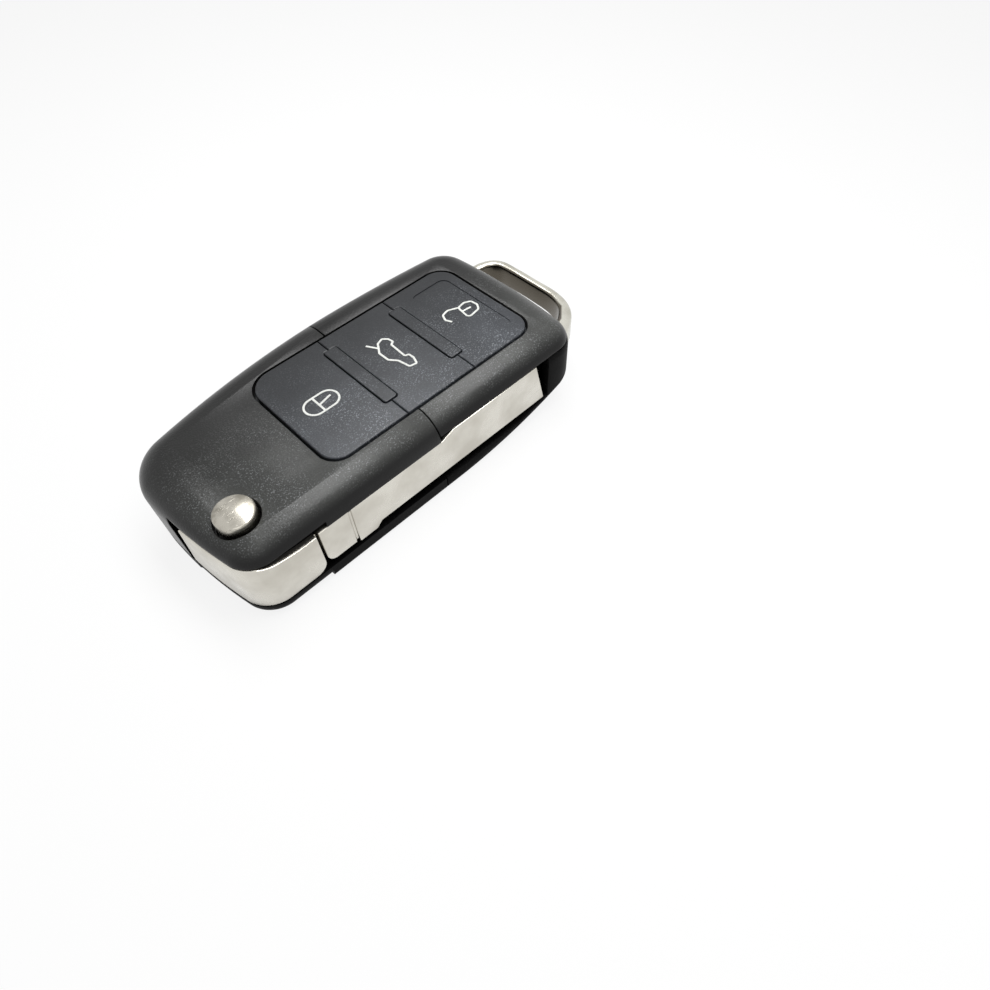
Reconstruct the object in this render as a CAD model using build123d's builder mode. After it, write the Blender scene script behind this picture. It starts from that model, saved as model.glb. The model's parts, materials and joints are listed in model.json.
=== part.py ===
"""Decoy flip-key fob whose rear half is a hidden pill box.

The head pulls off the front. The remote half carries three pressed keys and, underneath,
a tray closed by a lid that holds the keyring loop. A blank blade lies in the blade side's
slot and flips out of the head round the domed push button.

Millimetres. +X runs from the head to the keyring loop, -Y is the blade side, +Z is up,
and the origin is the bottom centre of the whole fob's box.
"""

import os
from math import sqrt

from build123d import *

os.makedirs("parts", exist_ok=True)

# Body sizes
head_length = 39.2
remote_length = 34.3
loop_reach = 7.8
body_width = 37.0
body_height = 16.5
wall = 1.5
roof = 1.6
floor_thick = 1.4
top_round = 4.8
bottom_round = 1.0
hub_corner_round = 2.4
seam_gap = 0.2
fit_gap = 0.2

# Body outline seen from above
widest_past_seam = 6.0
head_side_radius = 155.0
remote_side_radius = 260.0
rear_radius = 123.0
front_radius = 90.0
front_peak_y = 5.0
front_near_corner = 5.4
front_far_corner = 8.5
rear_far_corner = 6.4
rear_near_corner = 5.4

# Lid's crown seen from the side
belly_past_seam = 3.0
belly_radius = 78.0

# Head
partition_past_window = 0.8
partition_thick = 1.0
mould_recess = 0.4
mould_mark_from_seam = 6.5
mould_mark_y = 5.5
mould_mark_radius = 1.9
mould_pip_radius = 1.1
mould_slots = (((7.6, 5.4), (-4.5, 0.5)), ((3.6, 2.6), (-2.5, 4.5)))

# Flip mechanism
pivot_from_front = 7.35
pivot_from_side = 8.0
skin_recess = 0.05
skin_thick = 1.15
skin_arm = 6.95
skin_front_arm = 6.9
skin_front_slant = 1.7
skin_lower_round = 2.2
skin_dip = 1.25
skin_dip_middle = 1.0
skin_dip_start = 2.55
skin_dip_turn = 1.55
hub_gap = 0.05
hub_block_depth = 3.9
hub_front_block = 3.6
front_gap = 2.2
sweep_radius = 11.8
bay_depth = 3.1
bay_wall = 1.2
bay_floor = 2.9
bay_roof = 3.2
rim_drop = 1.0
hub_play = 0.15
pivot_boss_radius = 3.0
pivot_boss_height = 2.7
pivot_clearance = 0.06
collar_radius = 4.3
collar_ring = 0.9
button_radius = 3.15
button_skirt = 1.2
button_crown = 0.6
button_skirt_depth = 1.1
button_edge_round = 0.25
button_hole_gap = 0.45
button_travel = 1.5
counterbore_gap = 0.25
counterbore_depth = 1.1
stem_radius = 2.5
stem_clearance = 0.08
spring_seat = 5.2
spring_length = 4.4
spring_wire = 0.25
spring_radius = 1.9
spring_turns = 3.4

# Dummy blade
blade_recess = 0.1
blade_thick = 2.0
root_thick = 2.5
blade_gap = 0.5
root_length = 5.5
root_low = 4.0
root_corner = 1.6
neck_gap = 0.45
neck_depth = 0.3
neck_inset = 0.35
step_length = 3.6
step_low = 3.5
step_round = 0.9
strip_low = 4.6
strip_past_seam = 24.4
strip_slant = 2.1
strip_ramp_from_seam = 0.3
strip_ramp = 2.4
blade_bevel = 0.2
tang_length = 3.9
tang_thick = 1.2
tang_height = 4.0
tang_inset = 1.6
tang_clearance = 0.04
pin_radius = 0.8
pin_bore = 0.45
pin_length = 3.2
pin_from_root = 2.1
pin_clearance = 0.02

# Key pad
pad_front = 16.6
pad_rear = 27.0
pad_near_margin = 5.5
pad_far_margin = 7.5
pad_front_near_corner = 3.2
pad_front_far_corner = 4.4
pad_rear_corner = 3.6
pad_gap = 0.45
pad_proud = 0.1
key_travel = 0.5
key_plate = 0.85
key_gap = 0.12
key_round = 0.25
key_stem = 3.0
key_stem_gap = 0.3
key_recess = 0.12
key_recess_x = (16.6, 25.0)
key_recess_near = 2.7
key_recess_far = 2.9
key_recess_corner = 1.6
frame_plate = 0.9
frame_depth = 2.2
frame_flange = 0.5
frame_margin = 0.9
frame_rim = 1.2
bar_width = 2.5
bar_near_margin = 4.2
bar_far_margin = 3.3
bar_corner = 0.45
bar_middles = (-1.7, 12.6)
bar_proud = 0.15
key_edges = (-1.8, 12.65)
membrane_thick = 0.35
dome_height = 0.3
dome_radius = 2.4
icon_line = 0.36
icon_thick = 0.08
icon_corner = 0.3
padlock_corner = 0.6

# Icon outlines, from the seam
lock_oval = (-10.05, -1.35, 3.1, 1.85)
lock_bar = ((-10.6, -3.15), (-10.6, 0.45))
lock_key = ((-10.6, -1.55), (-8.0, -0.95))
unlock_body = ((21.05, -0.07), (22.72, 0.21), (23.9, -0.38), (24.07, -1.86), (23.37, -2.91), (20.59, -3.36))
unlock_shackle = ((21.05, -0.07), (19.18, 0.76), (17.75, 0.4), (17.2, -0.9), (17.72, -2.07))
unlock_key = ((20.85, -1.3), (22.8, -1.53))
car_body = ((4.32, 1.84), (4.98, 2.87), (6.23, 3.32), (6.99, 2.52), (7.17, 1.45), (6.46, 1.03))
car_nose = ((6.27, -2.76), (6.99, -2.96), (7.03, -4.13), (6.52, -5.54), (5.19, -5.25))
car_bonnet = ((4.77, -2.88), (3.68, -1.46), (3.66, 0.82))
boot_lid = ((3.18, 3.89), (4.32, 1.84))

# Tray
tray_front = 12.0
tray_rear_margin = 3.8
tray_gap = 0.3
tray_depth = 3.5
tray_round = 1.5
tray_plate = 1.4
tray_ledge = 5.8
tray_tongue_past_pad = 0.7
ring_gap = 0.4
ring_low = 3.2
ring_wall = 1.2
ring_front = 10.7
ring_rear_margin = 1.2
ring_near_margin = 2.1
ring_far_margin = 3.0
ring_jog = 1.4
ring_jog_at = 20.0
ring_corner = 2.4
notch_size = (1.2, 0.8, 0.7)
notch_places = (-6.0, 0.0, 6.0, 12.0, 18.0, 24.0)
tab_width = 2.4
tab_reach = 1.7
tab_heights = (8.0, 11.0)
tab_slot = 1.0
tab_places = (-7.5, 8.0)

# Lid
lid_gap = 0.1
lid_far_edge = 5.4
lid_rear_from_end = 6.6
flap_past_strip = 0.8
rib_size = (1.0, 0.5)
tongue_reach = 12.0
tongue_near_margin = 1.3
tongue_far_margin = 1.9
tongue_low = 1.6
tongue_high = 3.0
tongue_rise = 2.4
tongue_wall = 1.0
tongue_lap = 2.0

# Keyring loop, its sections in shares of its reach, of half the width, and of its wire and tallness
loop_depth = 7.5
loop_wire = 1.9
loop_tall = 4.5
loop_sections = (
    (-0.26, 0.665, 1.16, 0.67),
    (0.18, 0.68, 1.1, 0.76),
    (0.6, 0.643, 1.0, 0.89),
    (0.835, 0.519, 1.0, 0.98),
    (0.874, 0.303, 1.0, 1.0),
    (0.874, 0.0, 1.0, 1.0),
    (0.835, -0.292, 1.05, 1.07),
    (0.64, -0.508, 1.21, 1.16),
    (0.256, -0.649, 1.42, 1.22),
    (-0.23, -0.724, 1.58, 1.22),
)

# Places worked out from the sizes
half_width = body_width / 2
bay_ceiling = body_height - bay_roof
tray_top = body_height - tray_depth
frame_low = body_height - frame_depth
loop_height = body_height - loop_depth
pad_near = half_width - pad_near_margin
pad_far = half_width - pad_far_margin
bar_near = pad_near - bar_near_margin
bar_far = pad_far - bar_far_margin
key_recess_y = (key_recess_near - pad_near, pad_far - key_recess_far)
overall_length = head_length + remote_length + loop_reach
front_x = -overall_length / 2
seam_x = front_x + head_length
rear_x = seam_x + remote_length
head_end = seam_x - seam_gap / 2
remote_start = seam_x + seam_gap / 2
widest_x = seam_x + widest_past_seam
belly_x = seam_x + belly_past_seam
pivot_x = front_x + pivot_from_front
pivot_y = -half_width + pivot_from_side
bay_y = -half_width + bay_depth
bay_inner_y = bay_y + bay_wall
tray_near = -bay_inner_y - tray_gap
tray_rear = remote_length - tray_rear_margin
ring_rear = tray_rear - ring_rear_margin
ring_near = tray_near - ring_near_margin
ring_far = half_width - wall - ring_far_margin
tongue_near = -bay_inner_y - tongue_near_margin
tongue_far = half_width - wall - tongue_far_margin
roof_inner = body_height - roof
window_x = seam_x - pad_front - pad_gap
partition_x = window_x - partition_past_window
skin_inset = skin_recess + skin_thick
hub_inset = skin_inset + hub_gap
hub_radius = pivot_from_side - hub_inset
hub_low = bay_floor + hub_play
hub_top = bay_ceiling - hub_play - hub_gap
rim_low = bay_ceiling - rim_drop
strip_top = hub_top - rim_drop
boss_top = floor_thick + pivot_boss_height
collar_top = roof_inner - fit_gap
skirt_low = body_height - button_skirt_depth
skirt_high = body_height + button_skirt
root_x = pivot_x + skin_arm + blade_gap
neck_x = root_x + root_length
step_x = neck_x + neck_gap
strip_x = step_x + step_length
blade_y = -half_width + blade_recess
tang_y = blade_y + tang_inset
tang_z = (root_low + hub_top) / 2
pin_x = root_x - pin_from_root
strip_end_x = seam_x + strip_past_seam
ramp_x = seam_x + strip_ramp_from_seam
flap_x = strip_end_x + flap_past_strip
lid_rear_x = rear_x - lid_rear_from_end
key_top = body_height + pad_proud
key_low = key_top - key_plate
pad_middle_y = (pad_far - pad_near) / 2
membrane_top = tray_top + membrane_thick
far = body_width


def block(x, y, z, mode=Mode.ADD):
    """A box between two values along each axis."""
    with Locations(((x[0] + x[1]) / 2, (y[0] + y[1]) / 2, (z[0] + z[1]) / 2)):
        Box(x[1] - x[0], y[1] - y[0], z[1] - z[0], mode=mode)


def rod(x, y, radius, z, mode=Mode.ADD):
    """An upright cylinder between two heights."""
    with Locations((x, y, (z[0] + z[1]) / 2)):
        Cylinder(radius, z[1] - z[0], mode=mode)


def belly(x):
    """How far the underside has risen at x."""
    run = max(0.0, x - belly_x)
    return belly_radius - sqrt(belly_radius**2 - run**2)


def outline(inset):
    """The fob's outline seen from above, drawn in by inset."""
    with BuildSketch() as plan:
        for end_x, radius in ((front_x, head_side_radius), (rear_x, remote_side_radius)):
            with BuildSketch(mode=Mode.PRIVATE) as half:
                with Locations(((widest_x + end_x) / 2, inset / 2)):
                    Rectangle(abs(end_x - widest_x), body_width - inset)
                with Locations((widest_x, half_width - radius)):
                    Circle(radius - inset, mode=Mode.INTERSECT)
            add(half.sketch)
        for end_x, peak_y, radius in (
            (front_x, front_peak_y, front_radius),
            (rear_x, 0, -rear_radius),
        ):
            with Locations((end_x + radius, peak_y)):
                Circle(abs(radius) - inset, mode=Mode.INTERSECT)
        corners = (
            (front_x, -half_width, front_near_corner),
            (front_x, half_width, front_far_corner),
            (rear_x, half_width, rear_far_corner),
            (rear_x, -half_width, rear_near_corner),
        )
        for corner_x, corner_y, radius in corners:
            corner = plan.vertices().sort_by_distance((corner_x, corner_y, 0))[0]
            fillet(corner, radius=radius - inset)
    return plan.sketch


def body_form(inset, low, high, upper_round, lower_round):
    """The fob's smooth outer form, drawn in by inset, between two heights."""
    with BuildPart() as form:
        with BuildSketch(Plane.XY.offset(low)):
            add(outline(inset))
        extrude(amount=high - low)
        end_x = rear_x + wall
        middle_x = (belly_x + end_x) / 2
        with BuildSketch(Plane.XZ):
            with BuildLine():
                Polyline(
                    (end_x, low + belly(end_x)),
                    (end_x, high),
                    (front_x - wall, high),
                    (front_x - wall, low),
                    (belly_x, low),
                )
                ThreePointArc(
                    (belly_x, low), (middle_x, low + belly(middle_x)), (end_x, low + belly(end_x))
                )
            make_face()
        extrude(amount=body_width, both=True, mode=Mode.INTERSECT)
        if upper_round > 0:
            fillet(form.faces().sort_by(Axis.Z)[-1].edges(), radius=upper_round)
        if lower_round > 0:
            under = [face for face in form.faces() if face.normal_at().Z < -0.9]
            rim = ShapeList()
            for face in under:
                for edge in face.edges():
                    along = abs((edge @ 0 - edge @ 1).normalized().Y) > 0.999
                    if not (along and abs(edge.center().X - belly_x) < 0.01):
                        rim.append(edge)
            fillet(rim, radius=lower_round)
    return form.part


def pad_outline(grow, front_limit, rear_limit):
    """The key pad's rounded outline, grown all round, kept between two places along X."""
    near = -pad_near - grow
    distant = pad_far + grow
    with BuildSketch() as pad:
        with Locations((seam_x + (pad_rear - pad_front) / 2, (near + distant) / 2)):
            Rectangle(pad_front + pad_rear + 2 * grow, distant - near)
        fillet(pad.vertices().group_by(Axis.X)[0].sort_by(Axis.Y)[0], radius=pad_front_near_corner + grow)
        fillet(pad.vertices().group_by(Axis.X)[0].sort_by(Axis.Y)[-1], radius=pad_front_far_corner + grow)
        fillet(pad.vertices().group_by(Axis.X)[-1], radius=pad_rear_corner + grow)
        with Locations(((front_limit + rear_limit) / 2, 0)):
            Rectangle(rear_limit - front_limit, far + far, mode=Mode.INTERSECT)
    return pad.sketch


def ring_outline(inset):
    """The compartment's wall seen from above, drawn in by inset."""
    with BuildSketch() as ring:
        with Locations((seam_x + (ring_rear - ring_front) / 2, (ring_far - ring_near + ring_jog) / 2)):
            Rectangle(ring_front + ring_rear, ring_far + ring_near - ring_jog)
        with Locations((seam_x + (ring_jog_at - ring_front) / 2, (ring_far - ring_near) / 2)):
            Rectangle(ring_front + ring_jog_at, ring_far + ring_near)
        corners = ring.vertices().group_by(Axis.X)
        fillet(corners[0] + corners[-1], radius=ring_corner)
        if inset > 0:
            offset(amount=-inset)
    return ring.sketch


def loop_form():
    """The keyring loop, lofted through its sections."""
    places = [Vector(rear_x + x * loop_reach, y * half_width) for x, y, wide, tall in loop_sections]
    inwards = Vector(-loop_reach, 0)
    path = [places[0] + inwards, *places, places[-1] + inwards]
    sections = []
    for index, (x, y, wide, tall) in enumerate(loop_sections):
        along = path[index + 2] - path[index]
        where = Plane(
            origin=(places[index].X, places[index].Y, loop_height),
            x_dir=Vector(along.Y, -along.X, 0),
            z_dir=along,
        )
        with BuildSketch(where) as section:
            Ellipse(wide * loop_wire / 2, tall * loop_tall / 2)
        sections.append(section.sketch)
    with BuildPart() as hoop:
        loft(sections)
    return hoop.part


outer_form = body_form(0, 0, body_height, top_round, bottom_round)
inner_form = body_form(wall, floor_thick, roof_inner, top_round - wall, bottom_round - wall)
tray_form = body_form(wall + fit_gap, floor_thick + ring_gap, tray_top, tray_round, 0)
corner_form = body_form(0, 0, body_height, 0, hub_corner_round)
over_floor = body_form(0, floor_thick, body_height, 0, 0)
over_gap = body_form(0, floor_thick + ring_gap, body_height, 0, 0)

# Top cover of the head
with BuildPart() as head_top_shell:
    add(outer_form)
    add(inner_form, mode=Mode.SUBTRACT)
    block((front_x, head_end), (bay_y, bay_inner_y), (0, body_height - wall / 2))
    block((front_x, head_end), (-half_width, bay_inner_y), (bay_ceiling, body_height - wall / 2))
    block((pivot_x, head_end), (-half_width, bay_inner_y), (rim_low, body_height - wall / 2))
    rod(pivot_x, pivot_y, sweep_radius + fit_gap, (0, bay_ceiling), Mode.SUBTRACT)
    block((partition_x - partition_thick, partition_x), (bay_y, far), (0, body_height - wall / 2))
    block((front_x - far, far), (-far, bay_y), (0, rim_low), Mode.SUBTRACT)
    block(
        (front_x - far, pivot_x),
        (-far, pivot_y + skin_front_arm + front_gap),
        (0, bay_ceiling),
        Mode.SUBTRACT,
    )
    rod(pivot_x, pivot_y, collar_radius + collar_ring, (bay_ceiling, body_height - wall / 2))
    rod(pivot_x, pivot_y, collar_radius + pivot_clearance, (0, roof_inner), Mode.SUBTRACT)
    rod(pivot_x, pivot_y, button_radius + button_hole_gap, (0, far), Mode.SUBTRACT)
    with BuildSketch(Plane.XY.offset(roof_inner - wall)):
        add(pad_outline(pad_gap, front_x, rear_x))
    extrude(amount=far, mode=Mode.SUBTRACT)
    block((front_x - wall, head_end), (-far, far), (bay_floor, far), Mode.INTERSECT)
    add(outer_form, mode=Mode.INTERSECT)
head_top_shell.part.label = "head_top_shell"
export_step(head_top_shell.part, "parts/head_top_shell.step")

# What the floor's rim loses under the hub's cover
with BuildPart() as corner_cut:
    rim_end_y = pivot_y + skin_front_arm + skin_front_slant
    block((front_x - wall, root_x), (-far, rim_end_y), (-wall, bay_floor))
    add(corner_form, mode=Mode.SUBTRACT)

# Floor of the head
with BuildPart() as head_bottom_shell:
    add(outer_form)
    add(inner_form, mode=Mode.SUBTRACT)
    block((front_x - wall, head_end), (-far, far), (-wall, bay_floor), Mode.INTERSECT)
    block((partition_x, head_end), (bay_y, bay_inner_y), (floor_thick / 2, bay_floor))
    partition = (partition_x - partition_thick, partition_x)
    block(partition, (bay_y, half_width - wall), (floor_thick / 2, bay_floor))
    rod(pivot_x, pivot_y, pivot_boss_radius, (floor_thick / 2, boss_top))
    mark_x = seam_x - mould_mark_from_seam
    rod(mark_x, mould_mark_y, mould_mark_radius, (floor_thick - mould_recess, bay_floor), Mode.SUBTRACT)
    rod(mark_x, mould_mark_y, mould_pip_radius, (floor_thick / 2, floor_thick))
    for (slot_front, slot_rear), slot_y in mould_slots:
        slot_x = (seam_x - slot_front, seam_x - slot_rear)
        block(slot_x, slot_y, (floor_thick - mould_recess, bay_floor), Mode.SUBTRACT)
    add(outer_form, mode=Mode.INTERSECT)
    add(corner_cut.part, mode=Mode.SUBTRACT)
head_bottom_shell.part.label = "head_bottom_shell"
export_step(head_bottom_shell.part, "parts/head_bottom_shell.step")

# Turning block of the flip mechanism
with BuildPart() as hub:
    rod(pivot_x, pivot_y, hub_radius, (hub_low, hub_top))
    block_y = (pivot_y - hub_radius, pivot_y - hub_radius + hub_block_depth)
    block((pivot_x, pivot_x + skin_arm), block_y, (hub_low, hub_top))
    block_x = (pivot_x - hub_radius, pivot_x - hub_radius + hub_block_depth)
    block(block_x, (pivot_y, pivot_y + hub_front_block), (hub_low, hub_top))
    with BuildSketch(Plane.XY.offset(hub_low)):
        add(outline(hub_inset))
    extrude(amount=hub_top - hub_low, mode=Mode.INTERSECT)
    rod(pivot_x, pivot_y, collar_radius, (hub_top, collar_top))
    counterbore = button_radius + counterbore_gap
    rod(pivot_x, pivot_y, counterbore, (collar_top - counterbore_depth, far), Mode.SUBTRACT)
    rod(pivot_x, pivot_y, stem_radius + stem_clearance, (spring_seat, far), Mode.SUBTRACT)
    rod(pivot_x, pivot_y, pivot_boss_radius + pivot_clearance, (0, boss_top + hub_play), Mode.SUBTRACT)
    block(
        (root_x - tang_length - tang_clearance, far),
        (tang_y - tang_clearance, tang_y + tang_thick + tang_clearance),
        (tang_z - tang_height / 2 - tang_clearance, tang_z + tang_height / 2 + tang_clearance),
        Mode.SUBTRACT,
    )
    with Locations((pin_x, pivot_y - hub_radius + pin_length / 2, tang_z)):
        Cylinder(pin_radius + pin_clearance, pin_length, rotation=(90, 0, 0), mode=Mode.SUBTRACT)
hub.part.label = "hub"
export_step(hub.part, "parts/hub.step")

# Bright cover round the hub's corner
with BuildPart() as hub_skin:
    arm_end_x = pivot_x + skin_arm
    front_end_y = pivot_y + skin_front_arm
    with BuildSketch(Plane.XY.offset(hub_low)):
        add(outline(skin_recess))
        add(outline(skin_inset), mode=Mode.SUBTRACT)
    extrude(amount=hub_top - hub_low)
    block((front_x, arm_end_x), (-half_width, front_end_y + skin_front_slant), (0, far), Mode.INTERSECT)
    block((pivot_x, far), (pivot_y, far), (0, far), Mode.SUBTRACT)
    with BuildSketch(Plane.YZ.offset(front_x)):
        with BuildLine():
            Polyline(
                (front_end_y, hub_top),
                (front_end_y + skin_front_slant, hub_low),
                (far, hub_low),
                (far, hub_top),
                close=True,
            )
        make_face()
    extrude(amount=pivot_from_front, mode=Mode.SUBTRACT)
    dip_start_x = pivot_x - skin_dip_start
    with BuildSketch(Plane.XZ.offset(half_width)):
        with BuildLine():
            ThreePointArc(
                (dip_start_x, hub_top),
                (pivot_x + skin_dip_turn, hub_top - skin_dip_middle),
                (arm_end_x, hub_top - skin_dip),
            )
            Polyline((arm_end_x, hub_top - skin_dip), (arm_end_x, far), (dip_start_x, far))
            Line((dip_start_x, far), (dip_start_x, hub_top))
        make_face()
    extrude(amount=-pivot_from_side, mode=Mode.SUBTRACT)
    arm_edges = hub_skin.edges().filter_by(Axis.Y).group_by(Axis.X)[-1]
    fillet(arm_edges.sort_by(Axis.Z)[0], radius=skin_lower_round)
hub_skin.part.label = "hub_skin"
export_step(hub_skin.part, "parts/hub_skin.step")

# Blade's root, bevelled on its outer face
with BuildPart() as blade_root:
    with BuildSketch(Plane.XZ.offset(-blade_y)) as root_side:
        with Locations(((root_x + neck_x) / 2, (root_low + strip_top) / 2)):
            Rectangle(neck_x - root_x, strip_top - root_low)
        fillet(root_side.vertices().sort_by_distance((root_x, blade_y, root_low))[0], radius=root_corner)
    extrude(amount=-root_thick)
    chamfer(blade_root.faces().sort_by(Axis.Y)[0].edges(), length=blade_bevel)

# Dummy blade: root, neck, step and long strip
with BuildPart() as dummy_blade:
    with BuildSketch(Plane.XZ.offset(-blade_y)) as strip_side:
        with BuildLine():
            Polyline(
                (step_x, step_low),
                (strip_x, step_low),
                (strip_x + strip_low - step_low, strip_low),
                (strip_end_x, strip_low),
                (strip_end_x - strip_slant, hub_top),
                (ramp_x + strip_ramp, hub_top),
                (ramp_x, strip_top),
                (step_x, strip_top),
                close=True,
            )
        make_face()
        fillet(strip_side.vertices().sort_by_distance((strip_x, blade_y, step_low))[0], radius=step_round)
    extrude(amount=-blade_thick)
    chamfer(dummy_blade.faces().sort_by(Axis.Y)[0].edges(), length=blade_bevel)
    add(blade_root.part)
    neck_y = (blade_y + neck_depth, blade_y + blade_thick)
    block((neck_x, step_x), neck_y, (root_low + neck_inset, strip_top - neck_inset))
    tang_heights = (tang_z - tang_height / 2, tang_z + tang_height / 2)
    block((root_x - tang_length, root_x + blade_bevel), (tang_y, tang_y + tang_thick), tang_heights)
    with Locations((pin_x, tang_y, tang_z)):
        Cylinder(pin_radius + pin_clearance, far, rotation=(90, 0, 0), mode=Mode.SUBTRACT)
dummy_blade.part.label = "dummy_blade"
export_step(dummy_blade.part, "parts/dummy_blade.step")

# Rolled pin through the hub and the blade's tang
with BuildPart() as roll_pin:
    with Locations((pin_x, pivot_y - hub_radius + pin_length / 2, tang_z)):
        Cylinder(pin_radius, pin_length - fit_gap, rotation=(90, 0, 0))
        Cylinder(pin_bore, pin_length, rotation=(90, 0, 0), mode=Mode.SUBTRACT)
roll_pin.part.label = "roll_pin"
export_step(roll_pin.part, "parts/roll_pin.step")

# Domed push button
with BuildPart() as flip_button:
    rod(pivot_x, pivot_y, button_radius, (skirt_low, skirt_high + button_crown))
    crown_radius = (button_radius**2 + button_crown**2) / (2 * button_crown)
    with Locations((pivot_x, pivot_y, skirt_high + button_crown - crown_radius)):
        Sphere(crown_radius, mode=Mode.INTERSECT)
    crown_edge = flip_button.edges().filter_by(lambda edge: edge.is_closed).sort_by(Axis.Z)[-1]
    fillet(crown_edge, radius=button_edge_round)
    rod(pivot_x, pivot_y, stem_radius, (spring_seat + spring_length, skirt_low))
flip_button.part.label = "flip_button"
export_step(flip_button.part, "parts/flip_button.step")

# Coil spring under the push button
with BuildPart() as flip_spring:
    coil_rise = spring_length - 2 * spring_wire
    with BuildLine() as coil_path:
        Helix(
            pitch=coil_rise / spring_turns,
            height=coil_rise,
            radius=spring_radius,
            center=(pivot_x, pivot_y, spring_seat + spring_wire),
        )
    with BuildSketch(coil_path.line ^ 0):
        Circle(spring_wire)
    sweep()
print("least gap between the spring's turns", coil_rise / spring_turns - 2 * spring_wire)
flip_spring.part.label = "flip_spring"
export_step(flip_spring.part, "parts/flip_spring.step")

# Remote half's wall behind the blade
with BuildPart() as slot_wall:
    block((seam_x, flap_x - lid_gap), (bay_y, bay_inner_y), (bay_floor + ring_gap, body_height - wall / 2))
    add(over_gap, mode=Mode.INTERSECT)

# Remote half's outer skin
with BuildPart() as button_shell:
    add(outer_form)
    add(inner_form, mode=Mode.SUBTRACT)
    block((seam_x, flap_x), (-half_width, bay_inner_y), (bay_ceiling, body_height - wall / 2))
    shell_front_x = seam_x - wall
    block((shell_front_x, far), (-far, bay_inner_y), (-wall, bay_ceiling), Mode.SUBTRACT)
    block((lid_rear_x - lid_gap, far), (-far, far), (-wall, bay_ceiling), Mode.SUBTRACT)
    block((shell_front_x, far), (-far, far), (-wall, lid_far_edge + lid_gap), Mode.SUBTRACT)
    add(slot_wall.part)
    with BuildSketch(Plane.XY.offset(roof_inner - wall)):
        add(pad_outline(pad_gap, front_x, rear_x))
    extrude(amount=far, mode=Mode.SUBTRACT)
    block((remote_start, far), (-far, far), (0, far), Mode.INTERSECT)
    add(outer_form, mode=Mode.INTERSECT)
button_shell.part.label = "button_shell"
export_step(button_shell.part, "parts/button_shell.step")

# Compartment's moulding, open underneath
with BuildPart() as compartment_tray:
    add(tray_form)
    tray_x = (seam_x - tray_front, seam_x + tray_rear)
    block(tray_x, (-tray_near, far), (ring_low, far), Mode.INTERSECT)
    with BuildSketch():
        Rectangle(2 * far, 2 * far)
        add(ring_outline(0), mode=Mode.SUBTRACT)
    extrude(amount=tray_ledge, mode=Mode.SUBTRACT)
    with BuildSketch():
        add(ring_outline(ring_wall))
    extrude(amount=tray_top - tray_plate, mode=Mode.SUBTRACT)
    with BuildSketch(Plane.XY.offset(tray_top - tray_plate)):
        add(pad_outline(tray_tongue_past_pad, front_x, seam_x))
    extrude(amount=tray_plate)
    for past_seam in notch_places:
        with Locations((seam_x + past_seam, ring_far + notch_size[1], tray_ledge)):
            Box(notch_size[0], notch_size[1], 2 * notch_size[2], mode=Mode.SUBTRACT)
        with Locations((seam_x + past_seam, -ring_near - notch_size[1], tray_ledge)):
            Box(notch_size[0], notch_size[1], 2 * notch_size[2], mode=Mode.SUBTRACT)
    tab_x = seam_x + tray_rear
    for tab_y in tab_places:
        tab_sides = (tab_y - tab_width / 2, tab_y + tab_width / 2)
        block((tab_x - wall, tab_x + tab_reach), tab_sides, tab_heights)
        slot_sides = (tab_y - tab_slot / 2, tab_y + tab_slot / 2)
        block((tab_x + tab_reach / 3, tab_x + tab_reach), slot_sides, tab_heights, Mode.SUBTRACT)
compartment_tray.part.label = "compartment_tray"
export_step(compartment_tray.part, "parts/compartment_tray.step")

key_bounds = (-pad_front, *key_edges, pad_rear)
key_middles = [seam_x + (low + high) / 2 for low, high in zip(key_bounds, key_bounds[1:])]

# Rubber web with a dome under each key
with BuildPart() as button_membrane:
    with BuildSketch(Plane.XY.offset(tray_top)):
        add(pad_outline(tray_tongue_past_pad, front_x, rear_x))
    extrude(amount=membrane_thick)
    for key_x in key_middles:
        rod(key_x, pad_middle_y, dome_radius, (membrane_top, membrane_top + dome_height))
    fillet(button_membrane.faces().sort_by(Axis.Z)[-3:].edges(), radius=dome_height / 2)
button_membrane.part.label = "button_membrane"
export_step(button_membrane.part, "parts/button_membrane.step")

# Plate that guides the keys, with the two divider bars
with BuildPart() as button_frame:
    with BuildSketch(Plane.XY.offset(membrane_top)):
        add(pad_outline(tray_tongue_past_pad, front_x, rear_x))
        add(pad_outline(tray_tongue_past_pad - frame_rim, front_x, rear_x), mode=Mode.SUBTRACT)
    extrude(amount=frame_low - membrane_top)
    with BuildSketch(Plane.XY.offset(frame_low)):
        add(pad_outline(frame_margin, front_x, rear_x))
    extrude(amount=frame_flange)
    with BuildSketch(Plane.XY.offset(frame_low)):
        add(pad_outline(pad_gap - fit_gap, front_x, rear_x))
    extrude(amount=frame_plate)
    for key_x in key_middles:
        rod(key_x, pad_middle_y, key_stem + key_stem_gap, (0, far), Mode.SUBTRACT)
    for past_seam in bar_middles:
        with BuildSketch(Plane.XY.offset(frame_low)):
            with Locations((seam_x + past_seam, (bar_far - bar_near) / 2)):
                RectangleRounded(bar_width, bar_far + bar_near, bar_corner)
        extrude(amount=key_top + bar_proud - frame_low)
    fillet(button_frame.faces().sort_by(Axis.Z)[-2:].edges(), radius=bar_proud)
button_frame.part.label = "button_frame"
export_step(button_frame.part, "parts/button_frame.step")

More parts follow.
